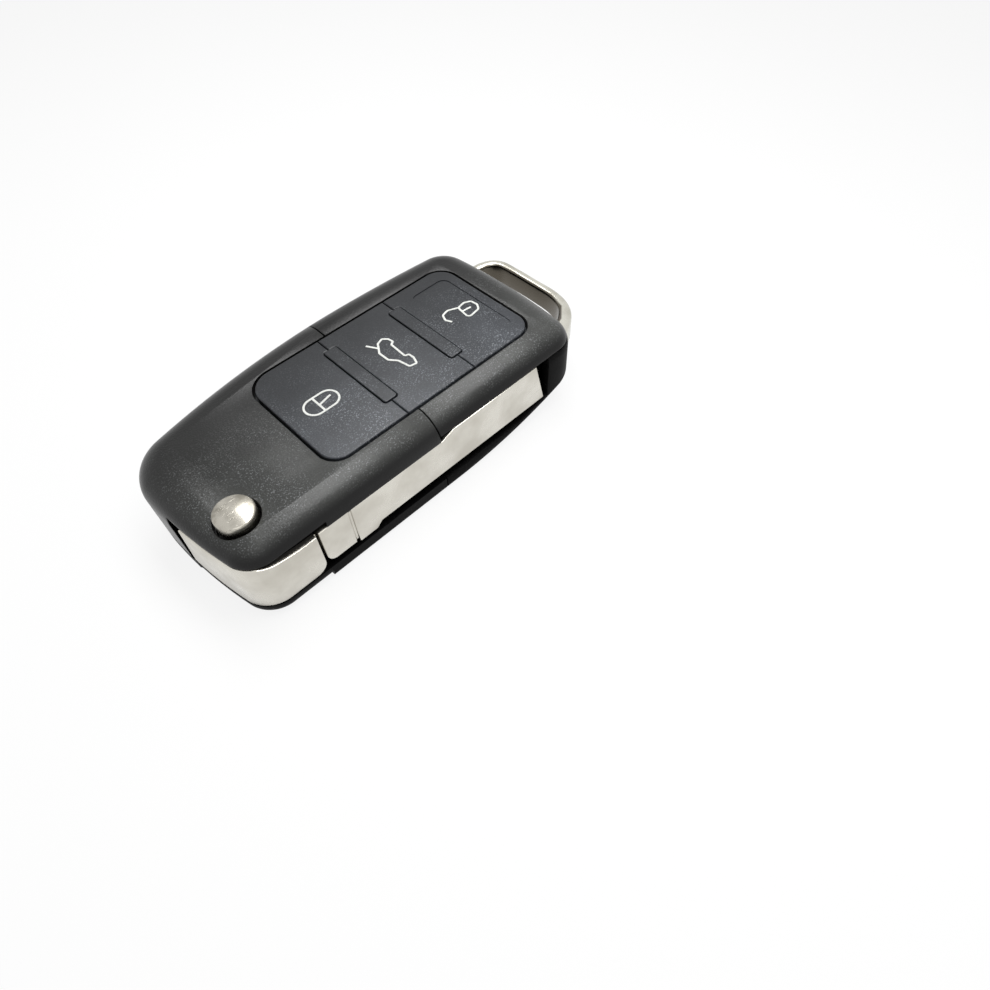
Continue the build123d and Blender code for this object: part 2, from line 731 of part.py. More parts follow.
# The three keys
key_names = ("lock_button", "trunk_button", "unlock_button")
for index, key_name in enumerate(key_names):
    key_front = seam_x + key_bounds[index] + (key_gap / 2 if index > 0 else 0)
    key_rear = seam_x + key_bounds[index + 1] - (key_gap / 2 if index < 2 else 0)
    with BuildPart() as key:
        with BuildSketch(Plane.XY.offset(key_low)):
            add(pad_outline(0, key_front, key_rear))
            for past_seam in bar_middles:
                with Locations((seam_x + past_seam, (bar_far - bar_near) / 2)):
                    RectangleRounded(
                        bar_width + 2 * key_gap,
                        bar_far + bar_near + 2 * key_gap,
                        bar_corner + key_gap,
                        mode=Mode.SUBTRACT,
                    )
        extrude(amount=key_plate)
        fillet(key.faces().sort_by(Axis.Z)[-1].edges(), radius=key_round)
        rod(key_middles[index], pad_middle_y, key_stem, (membrane_top + dome_height + key_travel, key_low))
        if key_name == "unlock_button":
            with BuildSketch(Plane.XY.offset(key_top)):
                with Locations((seam_x + sum(key_recess_x) / 2, sum(key_recess_y) / 2)):
                    RectangleRounded(
                        key_recess_x[1] - key_recess_x[0],
                        key_recess_y[1] - key_recess_y[0],
                        key_recess_corner,
                    )
            extrude(amount=-key_recess, mode=Mode.SUBTRACT)
    key.part.label = key_name
    export_step(key.part, f"parts/{key_name}.step")


def from_seam(points):
    """The points' places with the seam as the start of X."""
    return [(seam_x + x, y) for x, y in points]


# Closed padlock symbol
with BuildPart() as lock_icon:
    oval_x, oval_y, oval_long, oval_short = lock_oval
    with BuildSketch(Plane.XY.offset(key_top)):
        with Locations((seam_x + oval_x, oval_y)):
            SlotOverall(2 * oval_long + icon_line, 2 * oval_short + icon_line)
            SlotOverall(2 * oval_long - icon_line, 2 * oval_short - icon_line, mode=Mode.SUBTRACT)
        for points in (lock_bar, lock_key):
            with BuildLine():
                Polyline(from_seam(points))
            trace(line_width=icon_line)
    extrude(amount=icon_thick)
lock_icon.part.label = "lock_icon"
export_step(lock_icon.part, "parts/lock_icon.step")

# Symbol of a car with its boot lid up
with BuildPart() as trunk_icon:
    with BuildSketch(Plane.XY.offset(key_top)):
        with BuildLine():
            FilletPolyline(from_seam(car_body + car_nose + car_bonnet), radius=icon_corner, close=True)
        trace(line_width=icon_line)
        with BuildLine():
            Polyline(from_seam(boot_lid))
        trace(line_width=icon_line)
    extrude(amount=icon_thick)
trunk_icon.part.label = "trunk_icon"
export_step(trunk_icon.part, "parts/trunk_icon.step")

# Open padlock symbol
with BuildPart() as unlock_icon:
    with BuildSketch(Plane.XY.offset(key_top - key_recess)):
        with BuildLine():
            FilletPolyline(from_seam(unlock_body), radius=padlock_corner, close=True)
        trace(line_width=icon_line)
        with BuildLine():
            FilletPolyline(from_seam(unlock_shackle), radius=padlock_corner)
        trace(line_width=icon_line)
        with BuildLine():
            Polyline(from_seam(unlock_key))
        trace(line_width=icon_line)
    extrude(amount=icon_thick)
unlock_icon.part.label = "unlock_icon"
export_step(unlock_icon.part, "parts/unlock_icon.step")

keyring_form = loop_form()

# Room over the lid's floor beside the blade
with BuildPart() as lid_slot:
    add(over_floor)
    block((front_x, flap_x), (-far, 0), (bay_floor, far), Mode.INTERSECT)

# Crowned lid with its tongue
with BuildPart() as lid:
    add(outer_form)
    add(inner_form, mode=Mode.SUBTRACT)
    block((remote_start, far), (-far, far), (-wall, bay_ceiling - hub_play), Mode.INTERSECT)
    add(lid_slot.part, mode=Mode.SUBTRACT)
    block((front_x, lid_rear_x), (0, far), (lid_far_edge, far), Mode.SUBTRACT)
    tongue_x = (seam_x - tongue_reach, remote_start)
    block(tongue_x, (-tongue_near, tongue_far), (tongue_low, tongue_high))
    lap_x = (remote_start, seam_x + tongue_lap)
    block(lap_x, (-tongue_near, tongue_far), (floor_thick / 2, tongue_high))
    for side in (-tongue_near, tongue_far - tongue_wall):
        rise = (tongue_high, tongue_high + tongue_rise)
        block((tongue_x[0], lap_x[1]), (side, side + tongue_wall), rise)
    add(keyring_form, mode=Mode.SUBTRACT)
lid.part.label = "lid"
export_step(lid.part, "parts/lid.step")

# Bright keyring loop
with BuildPart() as keyring_loop:
    add(keyring_form)
keyring_loop.part.label = "keyring_loop"
export_step(keyring_loop.part, "parts/keyring_loop.step")
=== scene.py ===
# %% [markdown]
# # A decoy flip-key fob with a hidden pill box
# The CAD model comes first, as a fixed frame: every solid part, where it sits and which body it
# moves with. This script dresses that frame.

# %% Load the frame
import json
from math import atan2, cos, pi, radians, sin, sqrt

import bmesh
import bpy
from mathutils import Matrix, Vector

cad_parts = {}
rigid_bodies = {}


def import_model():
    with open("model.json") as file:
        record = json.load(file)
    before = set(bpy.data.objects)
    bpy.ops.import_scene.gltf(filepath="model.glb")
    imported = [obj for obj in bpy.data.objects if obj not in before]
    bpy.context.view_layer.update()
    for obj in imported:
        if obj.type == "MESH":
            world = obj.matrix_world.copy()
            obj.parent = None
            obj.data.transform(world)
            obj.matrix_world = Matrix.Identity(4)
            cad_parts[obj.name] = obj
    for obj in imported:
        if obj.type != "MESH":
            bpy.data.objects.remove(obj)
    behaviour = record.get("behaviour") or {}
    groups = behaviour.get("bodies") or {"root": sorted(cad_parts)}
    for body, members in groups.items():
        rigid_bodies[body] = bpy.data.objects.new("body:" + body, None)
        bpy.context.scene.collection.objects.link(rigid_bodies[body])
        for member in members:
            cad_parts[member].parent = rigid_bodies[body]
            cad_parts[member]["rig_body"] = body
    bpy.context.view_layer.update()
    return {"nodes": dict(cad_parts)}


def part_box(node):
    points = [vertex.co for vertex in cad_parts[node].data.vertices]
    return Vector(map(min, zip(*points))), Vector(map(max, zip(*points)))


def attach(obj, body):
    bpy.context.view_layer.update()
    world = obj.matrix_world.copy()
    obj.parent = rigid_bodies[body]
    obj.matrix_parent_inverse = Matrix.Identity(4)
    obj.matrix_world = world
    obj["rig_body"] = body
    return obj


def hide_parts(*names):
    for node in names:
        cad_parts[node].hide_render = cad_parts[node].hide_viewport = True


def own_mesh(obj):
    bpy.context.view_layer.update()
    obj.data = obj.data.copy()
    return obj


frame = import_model()
nodes = frame["nodes"]
MM = 0.001
print("nodes:", sorted(nodes))

# %% [markdown]
# The camera stands about 13 cm from the fob, above its front left, and is tilted a little. So
# near, it needs a wide lens, and the head looks larger than the rear. Its turn is built from an
# azimuth, an elevation and a roll, which are easier to read than a matrix. The seam between the
# two halves is the place that everything along the fob was measured from.

# %% Camera at the photograph's angle
CAMERA_AZIMUTH = radians(-43.04)
CAMERA_ELEVATION = radians(53.80)
CAMERA_ROLL = radians(-2.28)
CAMERA_DISTANCE = 129.85 * MM
CAMERA_ASIDE = (21.17 * MM, -11.53 * MM)
IMAGE_SIDE = 990
FOCAL_PIXELS = 699.34
SENSOR_WIDTH = 36.0
CLIP_START = 5 * MM
SEAM_GAP = 0.2 * MM
seam_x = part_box("button_shell")[0][0] - SEAM_GAP / 2


def camera_turn():
    """The camera's axes as the columns of a 3 by 3 matrix: right, up and back."""
    back = Vector((
        sin(CAMERA_AZIMUTH) * cos(CAMERA_ELEVATION),
        -cos(CAMERA_AZIMUTH) * cos(CAMERA_ELEVATION),
        sin(CAMERA_ELEVATION),
    ))
    right = Vector((cos(CAMERA_AZIMUTH), sin(CAMERA_AZIMUTH), 0.0))
    up = back.cross(right)
    rolled_right = cos(CAMERA_ROLL) * right + sin(CAMERA_ROLL) * up
    rolled_up = cos(CAMERA_ROLL) * up - sin(CAMERA_ROLL) * right
    return Matrix((rolled_right, rolled_up, back)).transposed()


turn = camera_turn()
camera_place = turn @ Vector((*CAMERA_ASIDE, CAMERA_DISTANCE)) + Vector((seam_x, 0.0, 0.0))
bpy.ops.object.camera_add()
camera = bpy.context.object
camera.name = "photo_camera"
camera.matrix_world = Matrix.Translation(camera_place) @ turn.to_4x4()
camera.data.lens = FOCAL_PIXELS * SENSOR_WIDTH / IMAGE_SIDE
camera.data.sensor_width = SENSOR_WIDTH
camera.data.clip_start = CLIP_START
bpy.context.scene.camera = camera
print("seam at", round(seam_x / MM, 2), "mm, camera at", [round(v / MM, 1) for v in camera_place])

# %% [markdown]
# Before any light or finish there are some small helpers. One turns the 0 to 255 values that a
# paint program shows into a colour, one empties a node tree, and one puts a value or a link into a
# socket. The others add nodes that several trees below share: a colour mix, a sum, a smooth ramp
# between two levels and a noise.

# %% Helpers for colours and node trees
COLOUR_A, COLOUR_B, COLOUR_RESULT = 6, 7, 2  # the places of a Mix node's colour sockets


def paint(red, green, blue):
    """A colour given as 0 to 255 screen values, as Blender's linear colour."""
    linear = []
    for value in (red, green, blue):
        share = value / 255
        linear.append(share / 12.92 if share <= 0.04045 else ((share + 0.055) / 1.055) ** 2.4)
    return (*linear, 1.0)


def new_tree(tree):
    """Empties a node tree and returns its nodes and links."""
    tree.nodes.clear()
    return tree.nodes, tree.links


def feed(links, socket, value):
    """Links an output to a socket, or sets the socket to a plain value."""
    if isinstance(value, bpy.types.NodeSocket):
        links.new(value, socket)
    else:
        socket.default_value = value


def mix_colours(made, links, share, first, second):
    """Adds a colour Mix node; its ends are colours or sockets. Returns its result."""
    mix = made.new("ShaderNodeMix")
    mix.data_type = "RGBA"
    feed(links, mix.inputs["Factor"], share)
    feed(links, mix.inputs[COLOUR_A], first)
    feed(links, mix.inputs[COLOUR_B], second)
    return mix.outputs[COLOUR_RESULT]


def sums(made, links, operation, *terms):
    """Adds a Math node on two or three numbers or sockets. Returns its result."""
    node = made.new("ShaderNodeMath")
    node.operation = operation
    for socket, value in zip(node.inputs, terms):
        feed(links, socket, value)
    return node.outputs[0]


def ramp(made, links, value, low, high):
    """Adds a Map Range node that takes low to 0 and high to 1, smoothly."""
    node = made.new("ShaderNodeMapRange")
    node.interpolation_type = "SMOOTHSTEP"
    node.inputs["From Min"].default_value = low
    node.inputs["From Max"].default_value = high
    links.new(value, node.inputs["Value"])
    return node.outputs[0]


def noise(made, links, place, scale, detail):
    """Adds a Noise Texture on a place. Returns its value."""
    node = made.new("ShaderNodeTexNoise")
    node.inputs["Detail"].default_value = detail
    links.new(place, node.inputs["Vector"])
    feed(links, node.inputs["Scale"], scale)
    return node.outputs[0]


print("a mid grey of 128 is", round(paint(128, 128, 128)[0], 3), "in Blender's linear colour")

# %% [markdown]
# The top of the fob is lightest along the blade side and falls off towards the far side and both
# ends. That is the sheen of a soft panel that hangs near the fob: satin plastic shows it only where
# the eye, the surface and the panel line up. A weaker lamp lights the front, and the rest is a pale
# room. The background is white to the camera, in reflections and through anything clear.

# %% World and lamps
WHITE = (1.0, 1.0, 1.0, 1.0)
ROOM_OVERHEAD = 0.26
ROOM_LOW = 0.20
ROOM_HEIGHTS = (-0.1, 0.9)
# each lamp's place and what it is turned towards, in metres, its two sides in metres, and watts
LAMPS = {
    "soft_panel": ((0.058, 0.002, 0.205), (0, -0.012, 0.016), (0.09, 0.25), 0.54),
    "front_lamp": ((-0.15, -0.25, 0.40), (0, 0, 0), (0.30, 0.30), 0.25),
}


def mix_shaders(made, links, share, first, second):
    """Adds a Mix Shader node between two shaders. Returns its result."""
    mix = made.new("ShaderNodeMixShader")
    links.new(share, mix.inputs[0])
    links.new(first, mix.inputs[1])
    links.new(second, mix.inputs[2])
    return mix.outputs[0]


def in_sight(made, links):
    """1 for what the camera sees straight, in a reflection or through anything clear, else 0."""
    rays = made.new("ShaderNodeLightPath").outputs
    seen = sums(made, links, "MAXIMUM", rays["Is Camera Ray"], rays["Is Glossy Ray"])
    return sums(made, links, "MAXIMUM", seen, rays["Is Transmission Ray"])


def background(made, links, strength):
    """Adds a white Background shader. Returns its result."""
    shader = made.new("ShaderNodeBackground")
    shader.inputs["Color"].default_value = WHITE
    feed(links, shader.inputs["Strength"], strength)
    return shader.outputs[0]


def make_world():
    """A pale room that is brighter overhead, and white where the camera sees it."""
    world = bpy.data.worlds.new("pale_room")
    world.use_nodes = True
    made, links = new_tree(world.node_tree)
    towards = made.new("ShaderNodeTexCoord")
    parts = made.new("ShaderNodeSeparateXYZ")
    links.new(towards.outputs["Generated"], parts.inputs[0])
    overhead = ramp(made, links, parts.outputs["Z"], *ROOM_HEIGHTS)
    level = sums(made, links, "MULTIPLY_ADD", overhead, ROOM_OVERHEAD - ROOM_LOW, ROOM_LOW)
    room, white = background(made, links, level), background(made, links, 1.0)
    out = made.new("ShaderNodeOutputWorld")
    links.new(mix_shaders(made, links, in_sight(made, links), room, white), out.inputs["Surface"])
    bpy.context.scene.world = world


def lamp(name, at, aim, size, power):
    """A flat soft lamp, its first side along X, at one place and turned towards another."""
    bpy.ops.object.light_add(type="AREA")
    light = bpy.context.object
    light.name = name
    light.data.shape = "RECTANGLE"
    light.data.size, light.data.size_y = size
    light.data.energy = power
    light.visible_camera = False
    back = (Vector(at) - Vector(aim)).normalized()
    side = (Vector((1, 0, 0)) - back * back.x).normalized()
    turned = Matrix((side, back.cross(side), back)).transposed()
    light.matrix_world = Matrix.Translation(Vector(at)) @ turned.to_4x4()


make_world()
for name, (at, aim, size, power) in LAMPS.items():
    lamp(name, at, aim, size, power)

# %% [markdown]
# The floor is a plain matt sheet. Part of its white comes from itself, for the camera and for
# reflections only, so that the shadow stays faint, as under a product that was cut out. Its lower
# side is see-through, so that views from below show the fob.

# %% Floor
FLOOR_SIZE = 3.0
FLOOR_OWN_WHITE = 0.86
FLOOR_SHEET = (0.95, 0.95, 0.95, 1.0)


def floor_finish():
    """Matt white, part of it by its own light where the camera sees it, and clear from below."""
    material = bpy.data.materials.new("white_table")
    material.use_nodes = True
    made, links = new_tree(material.node_tree)
    share = sums(made, links, "MULTIPLY", in_sight(made, links), FLOOR_OWN_WHITE)
    matt = made.new("ShaderNodeBsdfDiffuse")
    matt.inputs["Color"].default_value = FLOOR_SHEET
    own = made.new("ShaderNodeEmission")
    own.inputs["Strength"].default_value = 1.0
    sheet = mix_shaders(made, links, share, matt.outputs[0], own.outputs[0])
    backfacing = made.new("ShaderNodeNewGeometry").outputs["Backfacing"]
    clear = made.new("ShaderNodeBsdfTransparent")
    out = made.new("ShaderNodeOutputMaterial")
    links.new(mix_shaders(made, links, backfacing, sheet, clear.outputs[0]), out.inputs["Surface"])
    return material


bpy.ops.object.select_all(action="DESELECT")
bpy.ops.mesh.primitive_plane_add(size=FLOOR_SIZE)
floor = bpy.context.object
floor.name = "floor"
floor.data.materials.append(floor_finish())
print("floor:", FLOOR_SIZE, "m square")

# %% [markdown]
# ## Finishes
# The plastics share one effect: a fine moulded grain, soft patches where hands have polished or
# greyed the surface, and pale specks that are partly dust and scuffs and partly painted glints of
# the grain. The metals share another: cloudy mottling and fine scratches. Each effect is a node
# group that is built once and gets its own colours and sizes in each finish. All of them read
# object coordinates, in metres, so that the grain keeps its real size on every piece.

# %% A way to start a node group and a finish
PLACE, COLOUR, NUMBER = "NodeSocketVector", "NodeSocketColor", "NodeSocketFloat"
BUMP_STRENGTHS = {"plastic": 0.6, "metal": 0.5}


def new_group(name, inputs, outputs):
    """A shader node group with named inputs and outputs. Returns it with its two end nodes."""
    group = bpy.data.node_groups.new(name, "ShaderNodeTree")
    for label, kind in inputs.items():
        group.interface.new_socket(label, in_out="INPUT", socket_type=kind)
    for label, kind in outputs.items():
        group.interface.new_socket(label, in_out="OUTPUT", socket_type=kind)
    return group, group.nodes.new("NodeGroupInput"), group.nodes.new("NodeGroupOutput")


def new_finish(name, metallic, specular):
    """A material with a Principled shader. Returns it, its nodes and links, shader and place."""
    material = bpy.data.materials.new(name)
    material.use_nodes = True
    made, links = new_tree(material.node_tree)
    shader = made.new("ShaderNodeBsdfPrincipled")
    shader.inputs["Metallic"].default_value = metallic
    shader.inputs["Specular IOR Level"].default_value = specular
    out = made.new("ShaderNodeOutputMaterial")
    links.new(shader.outputs[0], out.inputs["Surface"])
    place = made.new("ShaderNodeTexCoord").outputs["Object"]
    return material, made, links, shader, place


def put_group(made, links, group, values):
    """Puts a group in a material and feeds its named inputs."""
    node = made.new("ShaderNodeGroup")
    node.node_tree = group
    for label, value in values.items():
        feed(links, node.inputs[label], value)
    return node


def roughen(made, links, shader, value, low, high):
    """Lets a 0 to 1 value run the roughness between two levels."""
    rough = sums(made, links, "MULTIPLY_ADD", value, high - low, low)
    links.new(rough, shader.inputs["Roughness"])


def emboss(made, links, shader, height, depth, strength):
    """Turns a 0 to 1 height into a bump of a depth in metres."""
    bump = made.new("ShaderNodeBump")
    bump.inputs["Strength"].default_value = strength
    bump.inputs["Distance"].default_value = depth
    links.new(height, bump.inputs["Height"])
    links.new(bump.outputs[0], shader.inputs["Normal"])


print("helpers for groups and finishes are ready")

# %% [markdown]
# The grain group. Its finest noise is the etched texture of the mould, about a third of a
# millimetre across. A slow noise, a centimetre across, makes the patches that hands have rubbed. A
# third one, finer than the grain, leaves pale specks, partly scuffs and partly painted glints of
# the grain, and a fourth gathers them in loose swarms.

# %% Group: moulded grain, rubbed patches and pale specks
PATCHES_PER_METRE = 95.0
# The pale specks are partly scuffs and partly painted glints where the grain catches the light.
SPECKS_PER_METRE = 4200.0
SWARMS_PER_METRE = 170.0
LEAST_PATCH = 0.5
GRAIN_DARKEST = 0.89
GRAIN_CONTRAST = 0.22
PATCH_EDGES = (0.25, 0.75)
GRAIN_EDGES = (0.3, 0.7)
SWARM_EDGES = (0.25, 0.65)
SPECK_EDGES = (0.54, 0.74)


def moulded_grain():
    """The colour, dullness and height of a rubbed moulded plastic; its specks are partly painted
    glints.
    """
    group, start, end = new_group(
        "moulded_grain",
        {
            "Place": PLACE, "Plain": COLOUR, "Worn and Lit": COLOUR, "Speck": COLOUR, "Wear and Light": NUMBER,
            "Grains per Metre": NUMBER, "Specks": NUMBER,
        },
        {"Colour": COLOUR, "Dullness": NUMBER, "Grain": NUMBER},
    )
    made, links = group.nodes, group.links
    place = start.outputs["Place"]
    fine = noise(made, links, place, start.outputs["Grains per Metre"], detail=2.0)
    patches = noise(made, links, place, PATCHES_PER_METRE, detail=3.0)
    patch = ramp(made, links, patches, *PATCH_EDGES)
    share = sums(made, links, "MULTIPLY_ADD", patch, 1 - LEAST_PATCH, LEAST_PATCH)
    share = sums(made, links, "MULTIPLY", share, start.outputs["Wear and Light"])
    colour = mix_colours(made, links, share, start.outputs["Plain"], start.outputs["Worn and Lit"])
    grain = ramp(made, links, fine, *GRAIN_EDGES)
    shade = sums(made, links, "MULTIPLY_ADD", grain, GRAIN_CONTRAST, GRAIN_DARKEST)
    scaled = made.new("ShaderNodeVectorMath")
    scaled.operation = "SCALE"
    links.new(colour, scaled.inputs[0])
    links.new(shade, scaled.inputs["Scale"])
    swarms = noise(made, links, place, SWARMS_PER_METRE, detail=2.0)
    swarm = ramp(made, links, swarms, *SWARM_EDGES)
    dots = noise(made, links, place, SPECKS_PER_METRE, detail=1.0)
    dot = ramp(made, links, dots, *SPECK_EDGES)
    dot = sums(made, links, "MULTIPLY", dot, swarm)
    dot = sums(made, links, "MULTIPLY", dot, start.outputs["Specks"])
    colour = mix_colours(made, links, dot, scaled.outputs[0], start.outputs["Speck"])
    links.new(colour, end.inputs["Colour"])
    links.new(patch, end.inputs["Dullness"])
    links.new(fine, end.inputs["Grain"])
    return group


grain_group = moulded_grain()
print("moulded_grain has", len(grain_group.nodes), "nodes")

# %% [markdown]
# The metal group. Bright plating is never even: it has cloudy patches from handling and short fine
# scratches. The scratches are a noise that is turned and stretched, cut so that only its peaks
# show.

# %% Group: worn bright metal
SCRATCH_TURN = (0.3, 0.2, 0.5)
SCRATCHES_PER_METRE = (260.0, 5200.0, 2600.0)
SCRATCH_DULLNESS = 0.6
CLOUD_HEIGHT = 0.5
CLOUD_EDGES = (0.3, 0.72)
SCRATCH_EDGES = (0.62, 0.72)


def worn_metal():
    """The colour, dullness and height of a bright metal with clouds and scratches."""
    group, start, end = new_group(
        "worn_metal",
        {
            "Place": PLACE, "Bright": COLOUR, "Dull": COLOUR, "Clouds per Metre": NUMBER,
            "Scratches": NUMBER,
        },
        {"Colour": COLOUR, "Dullness": NUMBER, "Height": NUMBER},
    )
    made, links = group.nodes, group.links
    place = start.outputs["Place"]
    clouds = noise(made, links, place, start.outputs["Clouds per Metre"], detail=4.0)
    cloud = ramp(made, links, clouds, *CLOUD_EDGES)
    stretched = made.new("ShaderNodeMapping")
    stretched.inputs["Rotation"].default_value = SCRATCH_TURN
    stretched.inputs["Scale"].default_value = SCRATCHES_PER_METRE
    links.new(place, stretched.inputs["Vector"])
    lines = noise(made, links, stretched.outputs[0], 1.0, detail=2.0)
    line = ramp(made, links, lines, *SCRATCH_EDGES)
    line = sums(made, links, "MULTIPLY", line, start.outputs["Scratches"])
    colour = mix_colours(made, links, cloud, start.outputs["Bright"], start.outputs["Dull"])
    dulled = sums(made, links, "MULTIPLY", line, SCRATCH_DULLNESS)
    colour = mix_colours(made, links, dulled, colour, start.outputs["Dull"])
    total = sums(made, links, "MAXIMUM", cloud, line)
    raised = sums(made, links, "MULTIPLY", clouds, CLOUD_HEIGHT)
    links.new(colour, end.inputs["Colour"])
    links.new(total, end.inputs["Dullness"])
    links.new(sums(made, links, "SUBTRACT", raised, line), end.inputs["Height"])
    return group


metal_group = worn_metal()
print("worn_metal has", len(metal_group.nodes), "nodes")

# %% [markdown]
# The plastics. On the shell, the keys and the frame, one mask runs the lighter colour: it grows
# with height over the rounded edge and across the fob towards the blade side. That lighter top is
# partly greying by hands and partly a painted sheen of the panel lamp, and the near-black of the
# walls and the far side is painted shade. The keys are a little bluer and smoother than the shell,
# and the two bottom covers are duller and take a darker copy of the shell plastic, which is painted
# shade.

# %% Plastics and rubber
# The mask below is partly greying by hands and partly painted light: a painted sheen on the top at
# the blade side, and painted shade on the walls and the far side.
WEAR_AND_LIGHT_HEIGHTS = (14.2 * MM, 16.2 * MM)
WEAR_AND_LIGHT_ACROSS = (14.0 * MM, -14.0 * MM)
WEAR_AND_PAINTED_LIGHT = "wear_and_painted_light"


def wear_and_light_mask(made, links, place):
    """A mask of greying by hands and painted light: 1 on top at the blade side, 0 at the far side
    and low down.
    """
    parts = made.new("ShaderNodeSeparateXYZ")
    links.new(place, parts.inputs[0])
    raised = ramp(made, links, parts.outputs["Z"], *WEAR_AND_LIGHT_HEIGHTS)
    across = ramp(made, links, parts.outputs["Y"], *WEAR_AND_LIGHT_ACROSS)
    return sums(made, links, "MULTIPLY", raised, across)


def plastic(name, plain, worn_and_lit, speck, wear_and_light, grains, specks, rough, depth, specular):
    """A moulded plastic. Given the handling mark as its share, a mask of greying by hands and
    painted light runs its lighter colour and its specks.
    """
    material, made, links, shader, place = new_finish(name, metallic=0.0, specular=specular)
    if wear_and_light == WEAR_AND_PAINTED_LIGHT:
        wear_and_light = wear_and_light_mask(made, links, place)
        specks = sums(made, links, "MULTIPLY", wear_and_light, specks)
    node = put_group(made, links, grain_group, {
        "Place": place, "Plain": plain, "Worn and Lit": worn_and_lit, "Speck": speck, "Wear and Light": wear_and_light,
        "Grains per Metre": grains, "Specks": specks,
    })
    links.new(node.outputs["Colour"], shader.inputs["Base Color"])
    roughen(made, links, shader, node.outputs["Dullness"], *rough)
    emboss(made, links, shader, node.outputs["Grain"], depth, BUMP_STRENGTHS["plastic"])
    return material


# On the shell, the keys and the frame the lighter top colour is greying by hands and a painted
# sheen, and the near-black one on the walls and the far side is painted shade.
shell_plastic = plastic(
    "shell_plastic", paint(10, 10, 10), paint(66, 67, 65), paint(118, 120, 121), wear_and_light=WEAR_AND_PAINTED_LIGHT,
    grains=3200.0, specks=0.9, rough=(0.28, 0.34), depth=0.05 * MM, specular=0.28,
)
# The bottom covers take a darker copy of the shell plastic; that darker colour is painted shade.
shaded_lower_plastic = plastic(
    "shaded_lower_plastic", paint(5, 5, 5), paint(12, 12, 12), paint(60, 60, 62), wear_and_light=0.5,
    grains=2400.0, specks=0.2, rough=(0.40, 0.50), depth=0.03 * MM, specular=0.04,
)
key_plastic = plastic(
    "key_plastic", paint(24, 26, 29), paint(60, 63, 68), paint(128, 132, 137), wear_and_light=WEAR_AND_PAINTED_LIGHT,
    grains=3400.0, specks=1.0, rough=(0.28, 0.34), depth=0.035 * MM, specular=0.30,
)
frame_plastic = plastic(
    "frame_plastic", paint(22, 24, 27), paint(56, 59, 63), paint(124, 127, 132), wear_and_light=WEAR_AND_PAINTED_LIGHT,
    grains=3400.0, specks=1.0, rough=(0.28, 0.34), depth=0.02 * MM, specular=0.30,
)
inner_plastic = plastic(
    "inner_plastic", paint(16, 16, 17), paint(30, 30, 32), paint(70, 72, 75), wear_and_light=0.6,
    grains=1800.0, specks=0.2, rough=(0.35, 0.50), depth=0.02 * MM, specular=0.35,
)
web_rubber = plastic(
    "web_rubber", paint(22, 22, 23), paint(36, 36, 37), paint(60, 60, 60), wear_and_light=0.5,
    grains=3200.0, specks=0.1, rough=(0.70, 0.85), depth=0.02 * MM, specular=0.25,
)
icon_print = plastic(
    "icon_print", paint(226, 227, 222), paint(196, 198, 194), paint(240, 240, 236), wear_and_light=0.7,
    grains=3000.0, specks=0.1, rough=(0.40, 0.55), depth=0.01 * MM, specular=0.40,
)
plastics = (shell_plastic, shaded_lower_plastic, key_plastic, frame_plastic, inner_plastic)
print("plastics:", [finish.name for finish in (*plastics, web_rubber, icon_print)])

# %% [markdown]
# The metals. The cover and the blade are satin nickel with a cream tone, the button is mottled and
# warmer, and the hub under the cover is cast zinc, darkened as painted shade for the gap where it
# shows. The hoop's metal comes later, with its path. A metal shows what stands round it, so its
# colour is nearly the colour that a white floor has in it.

# %% Metals
def metal(name, bright, dull, clouds, scratches, rough, depth, shaded=None):
    """A metal with clouds and scratches from use. shaded, if any, is a colour of painted dark
    reflection and the function that makes its mask.
    """
    material, made, links, shader, place = new_finish(name, metallic=1.0, specular=0.5)
    node = put_group(made, links, metal_group, {
        "Place": place, "Bright": bright, "Dull": dull, "Clouds per Metre": clouds,
        "Scratches": scratches,
    })
    colour = node.outputs["Colour"]
    if shaded:
        shade, mask = shaded
        colour = mix_colours(made, links, mask(made, links, place), colour, shade)
    links.new(colour, shader.inputs["Base Color"])
    roughen(made, links, shader, node.outputs["Dullness"], *rough)
    emboss(made, links, shader, node.outputs["Height"], depth, BUMP_STRENGTHS["metal"])
    return material


bright_metal = metal(
    "bright_metal", paint(216, 213, 204), paint(196, 192, 182),
    clouds=150.0, scratches=0.35, rough=(0.24, 0.38), depth=0.012 * MM,
)
button_metal = metal(
    "button_metal", paint(186, 182, 172), paint(132, 128, 118),
    clouds=420.0, scratches=0.9, rough=(0.20, 0.36), depth=0.05 * MM,
)
# The hub's dark colour is painted shade of the gap under the cover.
hub_metal = metal(
    "hub_metal", paint(52, 52, 52), paint(34, 34, 34),
    clouds=260.0, scratches=0.4, rough=(0.45, 0.6), depth=0.02 * MM,
)
spring_steel = metal(
    "spring_steel", paint(170, 170, 168), paint(130, 130, 128),
    clouds=500.0, scratches=0.6, rough=(0.25, 0.4), depth=0.01 * MM,
)
print("metals:", bright_metal.name, button_metal.name, hub_metal.name, spring_steel.name)

# %% [markdown]
# ## Pieces
# Most CAD parts have the right shape, but their edges are as sharp as drawn. A moulded shell has
# tiny rounds there, and those rounds catch the light that tells the eye how large the thing is. So
# a copy of each is merged, its flat faces joined, and its sharp edges given a small bevel. The
# copy stands for the part and rides with the same body.

# %% Round the edges of a copy
EDGE_ANGLE = radians(40)
EDGE_STEPS = 2
SMOOTH_ANGLE = radians(34)
FLAT_ANGLE = radians(0.3)
SAME_POINT = 0.002 * MM
bodies_of = {name: node["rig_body"] for name, node in nodes.items()}


def pick(piece):
    """Makes a piece the only selected and active object."""
    bpy.ops.object.select_all(action="DESELECT")
    piece.select_set(True)
    bpy.context.view_layer.objects.active = piece


